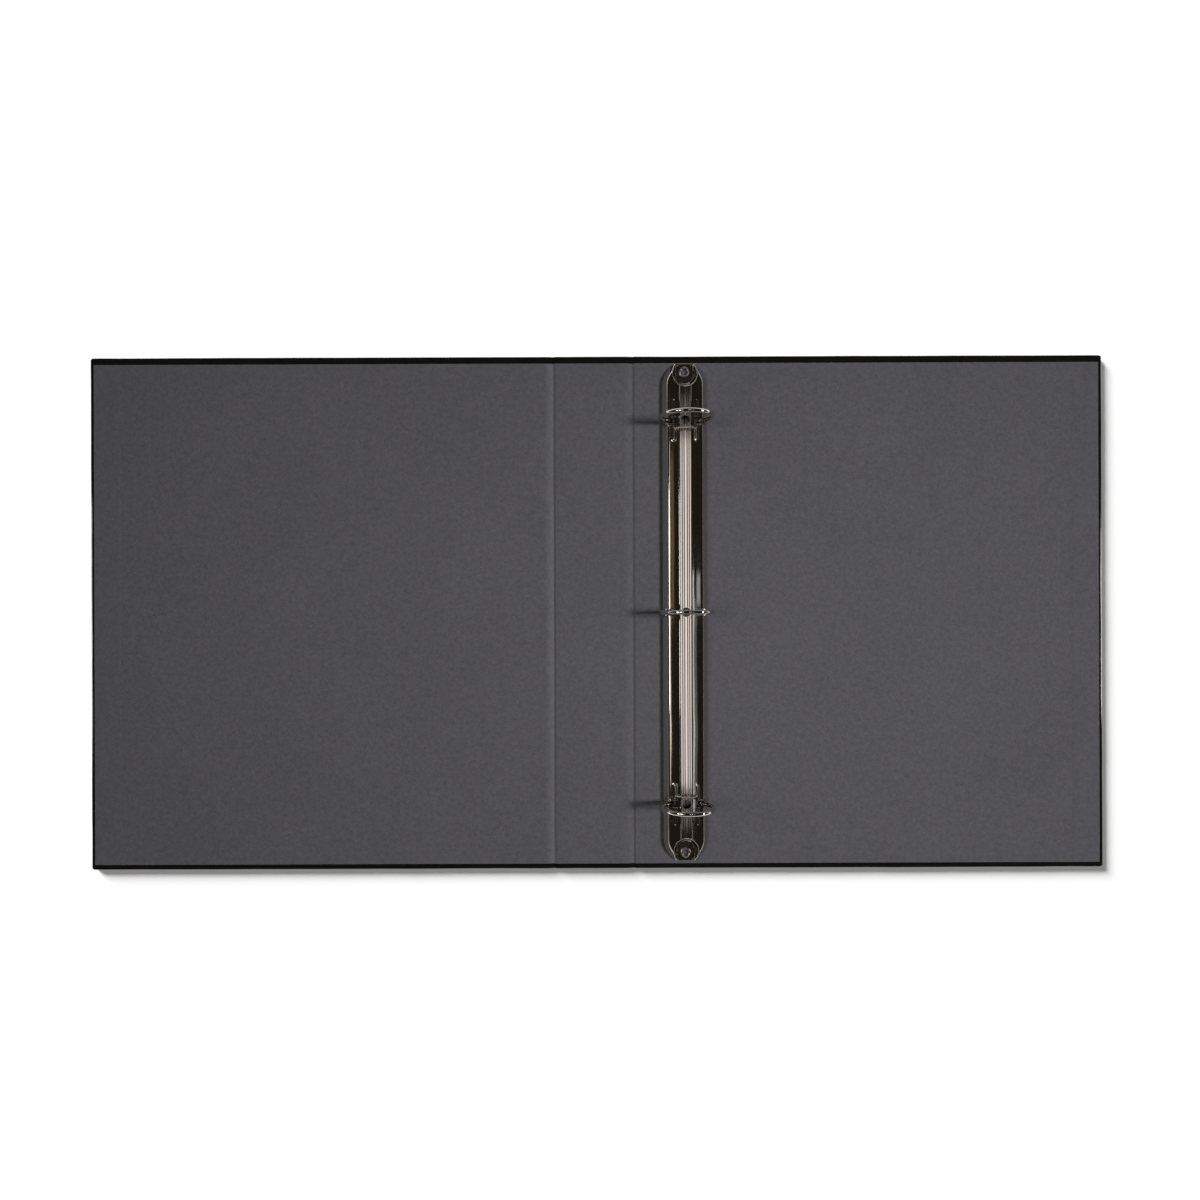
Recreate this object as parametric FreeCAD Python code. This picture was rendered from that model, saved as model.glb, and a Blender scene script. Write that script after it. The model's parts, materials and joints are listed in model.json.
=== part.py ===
"""Hard-cover three-ring binder, lying open and flat with its inside up.

Frame: +X runs from the front cover to the back cover, +Y from the tail edge to
the head edge, +Z up out of the inside of the case. The origin is the middle of
the case, on the surface that it lies on. All sizes are in millimetres.
"""
import FreeCAD, Part
import math
import os

V = FreeCAD.Vector
ALONG_Y = V(0, 1, 0)
UP = V(0, 0, 1)

# Case: three boards side by side, joined by the wrap and the liner
case_height = 292.1
front_width = 259.7
spine_width = 38.2
back_width = 264.9
hinge_gap = 7.0
corner_radius = 1.5

board_thickness = 2.5
wrap_thickness = 0.25
liner_thickness = 0.2

head_turn_in = 12.0
fore_turn_in = 17.0
head_liner_margin = 3.0
fore_liner_margin = 2.1

# Ring mechanism: where it stands on the back cover
plate_from_crease = 30.2
rivet_spacing = 273.2
ring_pitch = 107.95

# Housing: an arched strip of sprung steel
housing_length = 282.0
housing_width = 26.4  # between the sharp corners at its foot, before they are rounded
housing_rise = 6.8
housing_sheet = 0.8
crown_radius = 38.0
side_slope = 57.0
shoulder_radius = 1.8
lip_to_shank_clearance = 0.3
lip_clearance = 0.3
lip_bend_radius = 0.7
end_flat = 12.0
end_taper = 13.0
dish_radius = 6.5
dish_from_rivet = 2.0

ridge_width = 6.5
ridge_rise = 0.45
flute_radius = 0.25
flute_from_middle = (0.85, 1.97)
rib_length = 24.5
rib_radius = 1.5
rib_rise = 0.5
rib_from_middle = 6.3

# Hinge plates: two long blades whose outer edges sit on the housing's lips
blade_thickness = 1.0
blade_end_clearance = 1.2
blade_side_clearance = 0.4
blade_middle_gap = 0.5
blade_pivot_height = 2.0
blade_edge_to_pivot = 0.3
closed_tilt = 5.0
opening_turn = 17.0

# Rings: round wire, in two halves that meet at the top
ring_inner_diameter = 25.4
wire_diameter = 2.5
ring_low_point = 2.8  # height of the lowest place inside a closed ring above the seat
ring_centre_height = ring_low_point + ring_inner_diameter / 2
foot_from_middle = 8.0
foot_bend_radius = 2.0
shank_diameter = 2.0
shank_clearance = 0.03
shank_head_diameter = 2.4
shank_head_thickness = 0.4
slot_clearance = 0.65
slot_inner_clearance = 1.55
crown_hole_diameter = 5.2
tip_gap = 0.1
peg_length = 1.0
peg_root_diameter = 1.7
peg_tip_diameter = 1.1
peg_clearance = 0.15

# Rivets: semi-tubular, head flush in the outside of the back cover
rivet_shank_diameter = 4.6
rivet_bore_diameter = 3.4
rivet_head_diameter = 9.0
rivet_head_thickness = 0.6
rivet_rim_diameter = 5.8
rivet_bore_depth = 2.6
rivet_clearance = 0.05

# Levels, from the surface that the case lies on
board_z = wrap_thickness
board_top_z = board_z + board_thickness
turn_in_top_z = board_top_z + wrap_thickness
seat_z = turn_in_top_z + liner_thickness

# Places across the case
case_width = front_width + spine_width + back_width + 2 * hinge_gap
front_x = (-case_width / 2, -case_width / 2 + front_width)
spine_x = (front_x[1] + hinge_gap, front_x[1] + hinge_gap + spine_width)
back_x = (spine_x[1] + hinge_gap, case_width / 2)
plate_x = spine_x[1] + hinge_gap / 2 + plate_from_crease
half_height = case_height / 2

# Places in the ring mechanism, from the middle of its seat
housing_half = housing_width / 2
wire_radius = wire_diameter / 2
ring_radius = ring_inner_diameter / 2 + wire_radius
ring_ys = (ring_pitch, 0.0, -ring_pitch)
rivet_ys = (rivet_spacing / 2, -rivet_spacing / 2)
dish_reach = dish_from_rivet + dish_radius + housing_sheet
blade_length = rivet_spacing - 2 * (dish_reach + blade_end_clearance)
rivet_hole_radius = rivet_shank_diameter / 2 + rivet_clearance
LEFT, RIGHT = -1, 1
REACH = 60.0  # cutters run this far past what they cut


def box(x, y, z):
    """A box from three (low, high) pairs."""
    return Part.makeBox(x[1] - x[0], y[1] - y[0], z[1] - z[0], V(x[0], y[0], z[0]))


def cylinder(radius, x, y, z):
    """An upright cylinder at x, y from z's low to its high end."""
    return Part.makeCylinder(radius, z[1] - z[0], V(x, y, z[0]), UP)


def fused(*solids):
    return solids[0].multiFuse(list(solids[1:])).removeSplitter()


def face_of(edges):
    """The flat face inside a closed loop of curves, given in any order."""
    return Part.Face(Part.Wire(Part.sortEdges([e.toShape() for e in edges])[0]))


def plate(x, y, z, round_left, round_right, radius):
    """A flat plate whose upright edges are rounded at the fore-edge side only."""
    solid = box(x, y, z)
    sides = [x[0]] * round_left + [x[1]] * round_right
    corners = [e for e in solid.Edges
               if abs(e.BoundBox.ZLength - (z[1] - z[0])) < 1e-6
               and any(abs(e.BoundBox.Center.x - side) < 1e-6 for side in sides)]
    return solid.makeFillet(radius, corners) if corners and radius > 0 else solid


# Case -----------------------------------------------------------------------

def panel_outline(x, inset, head_inset, fore_left, fore_right):
    """The x and y ranges of a panel drawn in from its free edges, not from its hinge edges."""
    across = (x[0] + inset * fore_left, x[1] - inset * fore_right)
    return across, (-half_height + head_inset, half_height - head_inset)


def board(x, fore_left, fore_right):
    """Grey board, inside the wrap on its free edges and bare at its hinge edges."""
    across, along = panel_outline(x, wrap_thickness, wrap_thickness, fore_left, fore_right)
    radius = corner_radius - wrap_thickness
    return plate(across, along, (board_z, board_top_z), fore_left, fore_right, radius)


def wrap(x, fore_left, fore_right):
    """Outer covering: a tray under the board, folded in over its free edges."""
    across, along = panel_outline(x, 0, 0, fore_left, fore_right)
    tray = plate(across, along, (0, turn_in_top_z), fore_left, fore_right, corner_radius)
    across, along = panel_outline(x, fore_turn_in, head_turn_in, fore_left, fore_right)
    window = box(across, along, (board_top_z, turn_in_top_z))
    return tray.cut(board(x, fore_left, fore_right)).cut(window)


def liner(x, low_z, fore_left, fore_right):
    """Inner paper, glued down on low_z and stepping up over the turned-in wrap."""
    raised_z = low_z + wrap_thickness
    top_z = raised_z + liner_thickness
    across, along = panel_outline(x, fore_liner_margin, head_liner_margin, fore_left, fore_right)
    sheet = box(across, along, (raised_z, top_z))
    across, along = panel_outline(x, fore_turn_in, head_turn_in, fore_left, fore_right)
    sheet = sheet.fuse(box(across, along, (low_z, top_z)))
    across, along = panel_outline(x, fore_turn_in + liner_thickness, head_turn_in + liner_thickness,
                                  fore_left, fore_right)
    return sheet.cut(box(across, along, (low_z + liner_thickness, top_z))).removeSplitter()


def wrap_hinge(x):
    """The wrap where it crosses a gap between two boards, with its two folded-in ends."""
    across, along = panel_outline(x, 0, 0, False, False)
    strip = box(across, along, (0, wrap_thickness))
    ends = [box(across, sorted((end * half_height, end * (half_height - head_turn_in))),
                (wrap_thickness, 2 * wrap_thickness)) for end in (-1, 1)]
    return fused(strip, *ends)


def liner_hinge(x):
    """The liner where it dips into a gap: down one board's edge, across and up the next."""
    along = (-half_height + head_liner_margin, half_height - head_liner_margin)
    low_z = 2 * wrap_thickness
    walls = [box(sides, along, (low_z, seat_z))
             for sides in ((x[0], x[0] + liner_thickness), (x[1] - liner_thickness, x[1]))]
    return fused(liner(x, wrap_thickness, False, False), *walls)


def back_cover_holes(z):
    """Clearance holes for the rivets' shanks, and the shallow seats for their heads."""
    head_radius = rivet_head_diameter / 2 + rivet_clearance
    shanks = [cylinder(rivet_hole_radius, plate_x, y, z) for y in rivet_ys]
    heads = [cylinder(head_radius, plate_x, y, (0, rivet_head_thickness)) for y in rivet_ys]
    return fused(*[s.fuse(h) for s, h in zip(shanks, heads)])


# Housing --------------------------------------------------------------------

def in_section(x, height):
    """A point of the mechanism's cross-section, x from its middle, height from its seat."""
    return V(plate_x + x, 0, seat_z + height)


def side_line(inset):
    """The sloping side of the section as its outward normal and its distance along that normal."""
    slope = math.radians(side_slope)
    normal = V(math.sin(slope), 0, math.cos(slope))
    return normal, normal.dot(V(housing_half, 0, lip_clearance)) - inset


def side_x(height, inset):
    """How far from the middle the side lies at a height above the seat."""
    normal, distance = side_line(inset)
    return (distance - normal.z * height) / normal.x


def shoulder_centre():
    """Centre of the round between crown and side: one shoulder radius inside both of them."""
    normal, distance = side_line(shoulder_radius)
    downhill = V(normal.z, 0, -normal.x)
    crown_centre = V(0, 0, housing_rise - crown_radius)
    across = distance - normal.dot(crown_centre)
    along = downhill.dot(crown_centre) - math.sqrt((crown_radius - shoulder_radius) ** 2 - across ** 2)
    return normal * distance + downhill * along


def arch_section(inset, base):
    """The area under the housing's arch, drawn in by inset: crown, two shoulders, two sloping sides."""
    normal, _ = side_line(inset)
    crown_centre = V(0, 0, housing_rise - crown_radius)
    hub = shoulder_centre()
    outward = (hub - crown_centre).normalize()
    middle = (outward + normal).normalize()
    crown_end = crown_centre + outward * (crown_radius - inset)
    bulge = hub + middle * (shoulder_radius - inset)
    side_top = hub + normal * (shoulder_radius - inset)
    foot = V(side_x(base, inset), 0, base)

    def at(side, point):
        return in_section(side * point.x, point.z)

    edges = [Part.Arc(at(LEFT, crown_end), in_section(0, housing_rise - inset), at(RIGHT, crown_end)),
             Part.LineSegment(at(LEFT, foot), at(RIGHT, foot))]
    for side in (LEFT, RIGHT):
        edges += [Part.LineSegment(at(side, foot), at(side, side_top)),
                  Part.Arc(at(side, side_top), at(side, bulge), at(side, crown_end))]
    return face_of(edges)


def arch(inset, base):
    """The arch section carried along the housing."""
    solid = arch_section(inset, base).extrude(V(0, housing_length, 0))
    return solid.translated(V(0, -housing_length / 2, 0))


def end_outline(inset):
    """The housing's plan: straight sides that curve in to a flat at each end, drawn in by inset."""
    side = housing_half - inset
    end = housing_length / 2 - inset
    flat = end_flat / 2
    shoulder = end - end_taper
    drop = side - flat
    radius = (drop ** 2 + end_taper ** 2) / (2 * drop)
    turn = math.asin(end_taper / radius) / 2
    bulge = V(side - radius + radius * math.cos(turn), shoulder + radius * math.sin(turn), 0)

    def at(x, y):
        return V(plate_x + x, y, 0)

    edges = []
    for sy in (1, -1):
        edges.append(Part.LineSegment(at(-flat, sy * end), at(flat, sy * end)))
        for sx in (LEFT, RIGHT):
            edges.append(Part.Arc(at(sx * flat, sy * end), at(sx * bulge.x, sy * bulge.y),
                                  at(sx * side, sy * shoulder)))
    for sx in (LEFT, RIGHT):
        edges.append(Part.LineSegment(at(sx * side, -shoulder), at(sx * side, shoulder)))
    return face_of(edges)


def end_prism(inset, low, high):
    """The plan outline as a block between two heights above the seat."""
    block = end_outline(inset).extrude(V(0, 0, high - low))
    return block.translated(V(0, 0, seat_z + low))


def dish_block(radius, low, high, end):
    """A horseshoe block round one rivet, open to the housing's end."""
    near_y = end * (rivet_spacing / 2 - dish_from_rivet)
    far_y = end * (housing_length / 2 + REACH)
    z = (seat_z + low, seat_z + high)
    bar = box((plate_x - radius, plate_x + radius), sorted((near_y, far_y)), z)
    return bar.fuse(cylinder(radius, plate_x, near_y, z))


def ridge():
    """The raised band along the middle of the crown, with fine flutes in it on each side."""
    low, high = housing_rise - housing_sheet, housing_rise + ridge_rise
    band = box((plate_x - ridge_width / 2, plate_x + ridge_width / 2),
               (-housing_length / 2, housing_length / 2), (seat_z + low, seat_z + high))
    top_edges = [e for e in band.Edges if e.BoundBox.YLength > housing_length - 1
                 and e.BoundBox.ZMin > seat_z + high - 1e-6]
    band = band.makeFillet(ridge_rise * 0.8, top_edges)
    for side in (LEFT, RIGHT):
        for place in flute_from_middle:
            start = V(plate_x + side * place, -housing_length / 2, seat_z + high)
            band = band.cut(Part.makeCylinder(flute_radius, housing_length, start, ALONG_Y))
    return band


def crown_height(x):
    """Height of the housing's outer face above its seat, x from the middle."""
    return housing_rise - crown_radius + math.sqrt(crown_radius ** 2 - x ** 2)


def rib(side, y):
    """A long pressed-up bead beside an outer ring, round-ended."""
    axis_z = seat_z + crown_height(rib_from_middle) + rib_rise - rib_radius
    x = plate_x + side * rib_from_middle
    run = rib_length - 2 * rib_radius
    start = V(x, y - run / 2, axis_z)
    bead = Part.makeCylinder(rib_radius, run, start, ALONG_Y)
    ends = [Part.makeSphere(rib_radius, V(x, y + e * run / 2, axis_z)) for e in (-1, 1)]
    return fused(bead, *ends)


def leg_slot(side, y, floor_height):
    """Cutter for the slot that one ring leg stands in and swings through."""
    inner = foot_from_middle - wire_radius - slot_inner_clearance
    across = sorted((plate_x + side * inner, plate_x + side * (housing_half + REACH)))
    half = wire_radius + slot_clearance
    return box(across, (y - half, y + half), (seat_z + floor_height, seat_z + REACH))


def ring_housing():
    """Arched strip with rolled-in lips, closed tapered ends, rivet dishes, leg slots and crown holes."""
    outer = arch(0, lip_clearance)
    long_edges = [e for e in outer.Edges if e.BoundBox.YLength > housing_length - 1
                  and e.BoundBox.ZMax < seat_z + lip_clearance + 1e-6]
    outer = outer.makeFillet(lip_bend_radius, long_edges)
    outer = outer.multiFuse([ridge()] + [rib(side, y) for side in (LEFT, RIGHT)
                                         for y in (ring_ys[0], ring_ys[-1])])
    outer = outer.common(end_prism(0, -REACH, REACH))
    hollow = arch(housing_sheet, lip_clearance + housing_sheet)
    hollow = hollow.common(end_prism(housing_sheet, -REACH, REACH))
    lip_edge = foot_from_middle + shank_head_diameter / 2 + lip_to_shank_clearance
    mouth = end_prism(housing_half - lip_edge, -REACH, lip_clearance + housing_sheet)
    shell = outer.cut(hollow).cut(mouth)
    for end in (-1, 1):
        wall = dish_block(dish_radius + housing_sheet, 0, REACH, end).common(outer)
        floor = dish_block(dish_radius + housing_sheet, 0, housing_sheet, end)
        floor = floor.common(end_prism(0, 0, housing_sheet))
        shell = shell.fuse(wall).fuse(floor)
        shell = shell.cut(dish_block(dish_radius, housing_sheet, REACH, end))
    for y in rivet_ys:
        shell = shell.cut(cylinder(rivet_hole_radius, plate_x, y, (seat_z - REACH, seat_z + REACH)))
    floor_height = open_bend_height() - slot_clearance
    for y in ring_ys:
        shell = shell.cut(cylinder(crown_hole_diameter / 2, plate_x, y, (seat_z, seat_z + REACH)))
        for side in (LEFT, RIGHT):
            shell = shell.cut(leg_slot(side, y, floor_height))
    return shell.removeSplitter()


# Hinge plates and rings -----------------------------------------------------

def blade_edge():
    """How far from the middle a blade's outer edge lies: just clear of the sloping side."""
    top = blade_pivot_height + blade_thickness / 2
    return side_x(top, housing_sheet) - blade_side_clearance


def blade_frame(tilt):
    """Left blade's pivot, its direction towards the middle, and its upward normal, at a tilt.

    The tilt is how far the middle edge hangs below the pivot, in degrees.
    """
    angle = math.radians(tilt)
    pivot = V(blade_edge_to_pivot - blade_edge(), 0, blade_pivot_height)
    return pivot, V(math.cos(angle), 0, -math.sin(angle)), V(math.sin(angle), 0, math.cos(angle))


def foot_point(tilt):
    """Where a left leg's axis crosses the blade's middle plane, at a tilt."""
    pivot, inward, _ = blade_frame(tilt)
    return pivot + inward * (blade_edge() - blade_edge_to_pivot - foot_from_middle)


def bend_centre():
    """Centre of the small reverse bend that joins the ring's round to its upright leg.

    It lies one bend radius outside the leg's axis, and ring radius plus bend radius
    from the ring's centre, on the lower of the two places where both hold.
    """
    _, inward, normal = blade_frame(closed_tilt)
    start = foot_point(closed_tilt) - inward * foot_bend_radius - V(0, 0, ring_centre_height)
    reach = ring_radius + foot_bend_radius
    along = start.dot(normal)
    climb = -along - math.sqrt(along ** 2 - start.dot(start) + reach ** 2)
    return start + normal * climb + V(0, 0, ring_centre_height), climb


def leg_shoulder():
    """Where a left leg's axis meets the top of the blade it stands on."""
    _, _, normal = blade_frame(closed_tilt)
    return foot_point(closed_tilt) + normal * (blade_thickness / 2)


def open_bend_height():
    """Height above the seat at which an open leg begins to bend outwards."""
    _, climb = bend_centre()
    _, _, normal = blade_frame(closed_tilt - opening_turn)
    return (foot_point(closed_tilt - opening_turn) + normal * climb).z


def on_side(solid, side, y):
    """Move a solid built for the left at the origin to its side and place on the seat."""
    if side == RIGHT:
        solid = solid.mirror(V(0, 0, 0), V(1, 0, 0))
    return solid.translated(V(plate_x, y, seat_z))


def disc(centre, normal, radius, length):
    """A short cylinder that starts at centre and runs along normal."""
    return Part.makeCylinder(radius, length, centre, normal)


def hinge_plate(side):
    """A long flat blade, tilted about its pivot, with a hole for each ring's shank."""
    pivot, _, normal = blade_frame(closed_tilt)
    width = blade_edge() - blade_middle_gap / 2
    low = V(-blade_edge(), -blade_length / 2, blade_pivot_height - blade_thickness / 2)
    blade = Part.makeBox(width, blade_length, blade_thickness, low)
    blade = blade.rotated(pivot, ALONG_Y, closed_tilt)
    hole_radius = shank_diameter / 2 + shank_clearance
    for y in ring_ys:
        start = foot_point(closed_tilt) - normal * blade_thickness + V(0, y, 0)
        blade = blade.cut(disc(start, normal, hole_radius, 2 * blade_thickness))
    return on_side(blade, side, 0)


def tip_angle():
    """Angle of the left tip round the ring: a little past the top, to leave half the tip gap."""
    return math.pi / 2 + math.asin(tip_gap / 2 / ring_radius)


def ring_wire():
    """The left half's centre line: round from the top, small reverse bend, straight leg."""
    centre = V(0, 0, ring_centre_height)
    hub, climb = bend_centre()
    _, _, normal = blade_frame(closed_tilt)
    touch_direction = (hub - centre).normalize()
    touch = centre + touch_direction * ring_radius
    start_angle = tip_angle()
    end_angle = 2 * math.pi + math.atan2(touch_direction.z, touch_direction.x)

    def on_ring(angle):
        return centre + V(math.cos(angle), 0, math.sin(angle)) * ring_radius

    bend_end = foot_point(closed_tilt) + normal * climb
    outward = ((touch - hub).normalize() + (bend_end - hub).normalize()).normalize()
    edges = [Part.Arc(on_ring(start_angle), on_ring((start_angle + end_angle) / 2), touch),
             Part.Arc(touch, hub + outward * foot_bend_radius, bend_end),
             Part.LineSegment(bend_end, leg_shoulder())]
    return Part.Wire([e.toShape() for e in edges])


def half_ring(side, y):
    """One half of a ring with its foot riveted through the blade, and its tip's peg or socket."""
    path = ring_wire()
    tip = path.Edges[0].Vertexes[0].Point
    along = V(-math.sin(tip_angle()), 0, math.cos(tip_angle()))
    section = Part.Wire([Part.makeCircle(wire_radius, tip, along)])
    solid = path.makePipeShell([section], True, False)
    _, _, normal = blade_frame(closed_tilt)
    shank = disc(leg_shoulder(), -normal, shank_diameter / 2, blade_thickness)
    head_start = leg_shoulder() - normal * blade_thickness
    head = disc(head_start, -normal, shank_head_diameter / 2, shank_head_thickness)
    solid = fused(solid, shank, head)
    ring_top = V(0, 0, ring_centre_height + ring_radius)
    axis_start = ring_top - V(tip_gap / 2, 0, 0)
    if side == LEFT:
        peg = Part.makeCone(peg_root_diameter / 2, peg_tip_diameter / 2, peg_length,
                            axis_start, V(1, 0, 0))
        core = disc(axis_start, V(-1, 0, 0), peg_root_diameter / 2, wire_radius)
        solid = fused(solid, peg, core)
    else:
        socket = Part.makeCone(peg_root_diameter / 2 + peg_clearance,
                               peg_tip_diameter / 2 + peg_clearance,
                               peg_length + peg_clearance, ring_top, V(-1, 0, 0))
        solid = solid.cut(socket)
    return on_side(solid, side, y)


# Rivets ---------------------------------------------------------------------

def rivet(y):
    """Semi-tubular rivet: flush head outside, rolled rim inside the housing's dish."""
    top_z = seat_z + housing_sheet
    shank, bore, rim = rivet_shank_diameter / 2, rivet_bore_diameter / 2, rivet_rim_diameter / 2
    roll = (rim - bore) / 2
    head = rivet_head_diameter / 2
    floor_z = top_z - rivet_bore_depth

    def at(r, z):
        return V(r, 0, z)

    lines = [at(bore, top_z + roll), at(bore, floor_z), at(0, floor_z), at(0, 0), at(head, 0),
             at(head, rivet_head_thickness), at(shank, rivet_head_thickness), at(shank, top_z),
             at(rim, top_z), at(rim, top_z + roll)]
    edges = [Part.LineSegment(a, b) for a, b in zip(lines, lines[1:])]
    edges.append(Part.Arc(lines[-1], at(bore + roll, top_z + 2 * roll), lines[0]))
    solid = face_of(edges).revolve(V(0, 0, 0), UP, 360)
    return solid.translated(V(plate_x, y, 0))


def model():
    """Every sub-part, by node name."""
    holes = back_cover_holes((-REACH, REACH))
    front_gap, back_gap = (front_x[1], spine_x[0]), (spine_x[1], back_x[0])
    nodes = {
        "front_board": board(front_x, True, False),
        "spine_board": board(spine_x, False, False),
        "back_board": board(back_x, False, True).cut(holes),
        "front_wrap": wrap(front_x, True, False),
        "spine_wrap": wrap(spine_x, False, False),
        "back_wrap": wrap(back_x, False, True).cut(holes),
        "front_hinge_wrap": wrap_hinge(front_gap),
        "back_hinge_wrap": wrap_hinge(back_gap),
        "front_liner": liner(front_x, board_top_z, True, False),
        "spine_liner": liner(spine_x, board_top_z, False, False),
        "back_liner": liner(back_x, board_top_z, False, True).cut(holes),
        "front_hinge_liner": liner_hinge(front_gap),
        "back_hinge_liner": liner_hinge(back_gap),
        "ring_housing": ring_housing(),
        "upper_rivet": rivet(rivet_ys[0]),
        "lower_rivet": rivet(rivet_ys[1]),
    }
    for side, word in ((LEFT, "left"), (RIGHT, "right")):
        nodes[word + "_hinge_plate"] = hinge_plate(side)
        for place, y in zip(("upper", "middle", "lower"), ring_ys):
            nodes[place + "_" + word + "_half_ring"] = half_ring(side, y)
    return nodes


os.makedirs("parts", exist_ok=True)
for name, shape in model().items():
    if not shape.isValid() or len(shape.Solids) != 1:
        raise ValueError(name + " is not one valid solid")
    shape.exportStep("parts/" + name + ".step")
    print(name, round(shape.Volume, 1))
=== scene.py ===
import json
import math

import bmesh
import bpy
import numpy as np
from mathutils import Matrix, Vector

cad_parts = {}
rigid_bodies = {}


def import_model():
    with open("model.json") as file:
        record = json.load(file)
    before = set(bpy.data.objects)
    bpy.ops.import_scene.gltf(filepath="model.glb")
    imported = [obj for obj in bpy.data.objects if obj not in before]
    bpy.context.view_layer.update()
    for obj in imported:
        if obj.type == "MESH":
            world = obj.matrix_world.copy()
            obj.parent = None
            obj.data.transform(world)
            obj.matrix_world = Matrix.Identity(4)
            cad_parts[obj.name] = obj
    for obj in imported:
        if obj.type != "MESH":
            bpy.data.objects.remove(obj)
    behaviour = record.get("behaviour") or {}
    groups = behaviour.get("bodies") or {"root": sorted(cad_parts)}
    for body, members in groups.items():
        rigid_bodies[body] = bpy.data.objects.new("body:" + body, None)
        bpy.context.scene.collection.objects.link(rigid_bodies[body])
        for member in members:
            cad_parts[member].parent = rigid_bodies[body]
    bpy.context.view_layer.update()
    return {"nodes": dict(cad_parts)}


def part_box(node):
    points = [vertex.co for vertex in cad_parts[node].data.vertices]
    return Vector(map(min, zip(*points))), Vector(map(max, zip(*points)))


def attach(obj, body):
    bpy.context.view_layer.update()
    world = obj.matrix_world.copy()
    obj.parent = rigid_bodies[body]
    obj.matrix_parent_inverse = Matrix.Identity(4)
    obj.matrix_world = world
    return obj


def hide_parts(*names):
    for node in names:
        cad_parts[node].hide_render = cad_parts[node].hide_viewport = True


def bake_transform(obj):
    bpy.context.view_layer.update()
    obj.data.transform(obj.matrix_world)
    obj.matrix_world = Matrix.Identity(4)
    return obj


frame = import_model()

MM = 0.001

# ---------------------------------------------------------------- places, read from the frame
BACK_LO, BACK_HI = (np.array(corner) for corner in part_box("back_wrap"))
FRONT_LO, FRONT_HI = (np.array(corner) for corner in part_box("front_wrap"))
SPINE_LO, SPINE_HI = (np.array(corner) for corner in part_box("spine_wrap"))
LINER_HI = np.array(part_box("back_liner")[1])
HOUSING_LO, HOUSING_HI = (np.array(corner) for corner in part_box("ring_housing"))
RIVET_LO, RIVET_HI = (np.array(corner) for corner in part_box("upper_rivet"))

HALF_HEIGHT = BACK_HI[1]
WRAP_TOP = BACK_HI[2]
SEAT = LINER_HI[2]
SPINE_MIDDLE = (SPINE_LO[0] + SPINE_HI[0]) / 2
BACK_GAP = (SPINE_HI[0], BACK_LO[0])
FRONT_GAP = (FRONT_HI[0], SPINE_LO[0])
PLATE_X = (HOUSING_LO[0] + HOUSING_HI[0]) / 2
RING_YS = [float(sum(c[1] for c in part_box(place + "_left_half_ring"))) / 2
           for place in ("upper", "middle", "lower")]
RIVET_YS = [float(sum(c[1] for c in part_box(place + "_rivet"))) / 2 for place in ("upper", "lower")]

# ---------------------------------------------------------------- sizes of what is seen
WRAP_THICKNESS = 0.25 * MM
LINER_THICKNESS = 0.2 * MM
EDGE_RADIUS = 0.8 * MM
CORNER_RADIUS = 1.5 * MM
HEAD_TURN_IN = 12.0 * MM
FORE_TURN_IN = 17.0 * MM
TURN_IN_STEP = 0.13 * MM
HEAD_SETBACK = 1.1 * MM  # the liner was pasted that much nearer the tail
STEP_WIDTH = 1.6 * MM  # over which the liner steps down inside the turned-in flaps
GROOVE_DEPTH = 0.6 * MM
CREASE_RELIEF = 0.15 * MM

# Ring mechanism, in millimetres from its middle and above its seat
PLATE_SHEET = 0.8
PLATE_HALF_WIDTH = 13.2
PLATE_STRAIGHT = 128.0  # half the length of its straight sides
PLATE_BOW = 16.25
CROWN_TOP = 6.8
CROWN_RADIUS = 38.0
RIDGE_HALF_WIDTH = 3.25
BEAD_FROM_MIDDLE = 6.3
BEAD_RADIUS = 1.5
DISH_MIDDLE = 134.6
SLOT_NEAR, SLOT_FAR, SLOT_HALF = 5.2, 11.81, 1.9
LIP_RADIUS = 0.7  # of the edge that is rolled in under each side
LIP_CENTRE = (1.289, 1.0)  # inset from the plan outline, and height
LIP_END = 3.7
FACE_INSET = 0.702  # from the plan outline in to where the rolled lip starts
FACE_HALF_WIDTH = 12.498
CROWN_HOLE = (2.3, 4.6, 2.6)  # inner square, outer square and hole radius for round_hole
RIVET_HOLE = (1.8, 4.2, 2.35)
WIRE_RADIUS = 1.25
RING_RADIUS = 13.95
RING_CENTRE = np.array([0, 15.5])
LEG_FOOT = np.array([-8.008, 1.8155])
LEG_BEND = 2.0
BLADE_TILT = math.radians(5.0)


# ---------------------------------------------------------------- small helpers
def smooth(t):
    """Smooth step: 0 below 0, 1 above 1, and three t squared less two t cubed between."""
    t = np.clip(t, 0.0, 1.0)
    return t * t * (3.0 - 2.0 * t)


def stations(*spans):
    """Increasing places along a line: each span is (start, end, largest step)."""
    runs = [np.linspace(a, b, max(2, int(math.ceil(abs(b - a) / step)) + 1)) for a, b, step in spans]
    return np.concatenate([runs[0]] + [run[1:] for run in runs[1:]])


def waves(t, seed, longest, count=5):
    """A smooth wandering line of unit size: sines whose lengths fall from longest by golden steps."""
    rng = np.random.default_rng(seed)
    total = np.zeros_like(t)
    for k in range(count):
        length = longest / 1.618 ** k
        total += np.sin(2 * math.pi * t / length + rng.uniform(0, 2 * math.pi)) / 1.5 ** k
    return total / 2.0


def mesh_object(name, points, faces):
    """A mesh object at the origin from an array of points and an array of corner numbers."""
    mesh = bpy.data.meshes.new(name)
    mesh.from_pydata(points.reshape(-1, 3).tolist(), [], faces.tolist())
    mesh.update()
    mesh.polygons.foreach_set("use_smooth", np.ones(len(mesh.polygons), bool))
    piece = bpy.data.objects.new(name, mesh)
    bpy.context.scene.collection.objects.link(piece)
    return piece


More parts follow.
